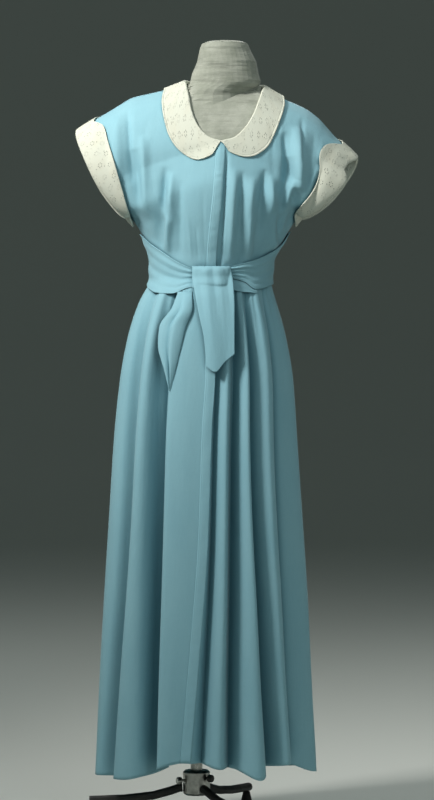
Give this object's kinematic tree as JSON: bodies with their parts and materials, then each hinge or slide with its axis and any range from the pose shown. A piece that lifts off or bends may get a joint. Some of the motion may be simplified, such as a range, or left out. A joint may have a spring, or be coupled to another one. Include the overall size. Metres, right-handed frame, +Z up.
{
  "type": "nurse uniform dress on a dress form with stand",
  "caption": "Floor-length light blue nurse uniform dress with white eyelet collar and cuffs, fly front and tied sash, on a limbless dress form with a low stand.",
  "frame": {"origin": "centre of the bounding box at floor level", "axes": "+Z up, -Y is the front of the dress, +X to the right of a viewer who faces the front"},
  "size_m": [0.5927, 0.4292, 1.642],
  "materials": {
    "blue_cotton": "plain woven cotton, matt",
    "white_eyelet_cotton": "white cotton with small eyelets",
    "grey_jersey": "grey jersey cover, matt",
    "bright_steel": "bright",
    "dark_paint": "satin",
    "black_rubber": "matt"
  },
  "bodies": {
    "root": {"bodice_front_left": "blue_cotton", "bodice_front_right": "blue_cotton", "bodice_back_left": "blue_cotton", "bodice_back_right": "blue_cotton", "placket_bodice": "blue_cotton", "placket_skirt": "blue_cotton", "skirt_front_left": "blue_cotton", "skirt_front_right": "blue_cotton", "skirt_back": "blue_cotton", "sash_band": "blue_cotton", "sash_under": "blue_cotton", "sash_knot": "blue_cotton", "sash_tail_front": "blue_cotton", "sash_tail_side": "blue_cotton", "collar_left": "white_eyelet_cotton", "collar_right": "white_eyelet_cotton", "cuff_left": "white_eyelet_cotton", "cuff_right": "white_eyelet_cotton", "dress_form": "grey_jersey", "stand_post": "bright_steel", "stand_hub": "bright_steel", "clamp_screw_left": "bright_steel", "clamp_screw_right": "dark_paint", "stand_leg_1": "dark_paint", "stand_foot_1": "black_rubber", "stand_leg_2": "dark_paint", "stand_foot_2": "black_rubber", "stand_leg_3": "dark_paint", "stand_foot_3": "black_rubber"}
  },
  "joints": []
}
